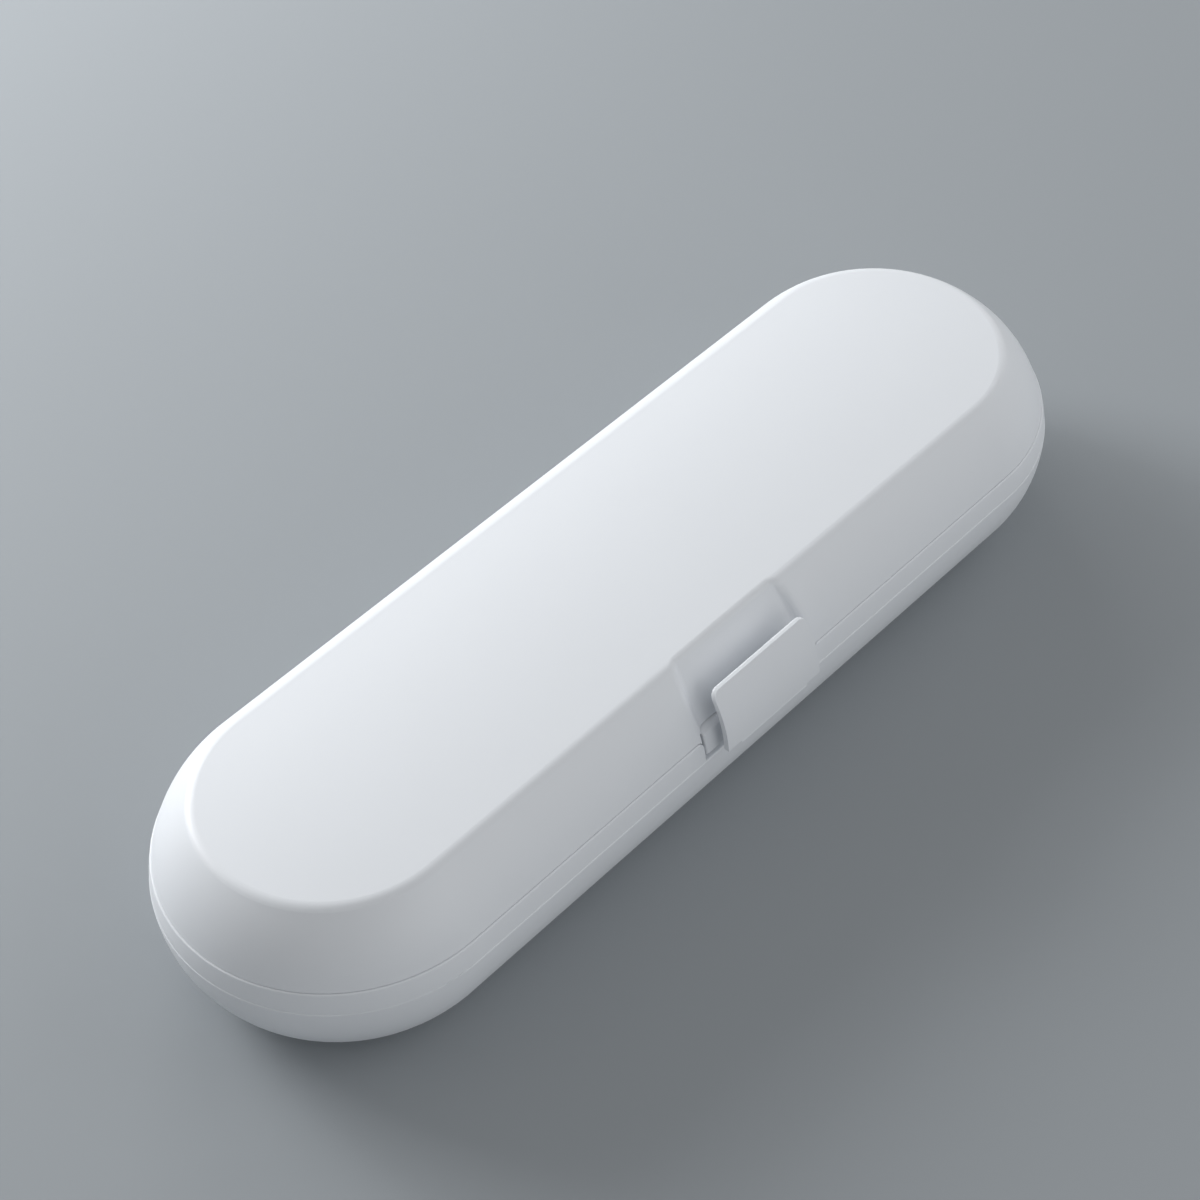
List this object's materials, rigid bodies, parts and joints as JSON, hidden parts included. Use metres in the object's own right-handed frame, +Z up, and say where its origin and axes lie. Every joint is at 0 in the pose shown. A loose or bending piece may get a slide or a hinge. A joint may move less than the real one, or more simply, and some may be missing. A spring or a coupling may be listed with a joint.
{
  "type": "electric toothbrush travel case",
  "caption": "Long rounded white travel case for an electric toothbrush, with a hinged lid, a front latch lever in a pocket, and a lift-out tray inside for the handle and spare brush heads.",
  "frame": {"origin": "middle of the flat bottom of the closed case", "axes": "+X along the case, -Y is the side with the latch, +Y the side with the hinges, +Z up"},
  "size_m": [0.215, 0.0712, 0.039],
  "materials": {
    "shell_white": "fine satin, moulded",
    "frame_white": "fine satin, moulded",
    "lid_white": "fine satin, moulded",
    "lever_white": "fine satin, moulded",
    "pin_steel": "drawn",
    "tray_grey": "satin, moulded",
    "peg_grey": "satin, moulded",
    "pad_silicone": "soft silicone"
  },
  "bodies": {
    "base": {"base_shell": "shell_white", "rim_frame": "frame_white", "latch_pin": "pin_steel", "hinge_pin_left": "pin_steel", "hinge_pin_right": "pin_steel", "inner_tray": "tray_grey", "handle_saddle_left": "pad_silicone", "handle_saddle_right": "pad_silicone", "head_peg_left": "peg_grey", "head_peg_right": "peg_grey"},
    "lid": {"lid_shell": "lid_white", "lid_retainer": "tray_grey", "retainer_pad_left": "pad_silicone", "retainer_pad_right": "pad_silicone"},
    "latch": {"latch_lever": "lever_white"}
  },
  "joints": [
    {"name": "lid_hinge", "type": "hinge", "parent": "base", "child": "lid", "pos_m": [0, 0.0323, 0.0225], "axis": [-1, 0, 0], "range_deg": [0, 110]},
    {"name": "latch_hinge", "type": "hinge", "parent": "base", "child": "latch", "pos_m": [0, -0.0313, 0.0234], "axis": [1, 0, 0], "range_deg": [0, 28]}
  ]
}
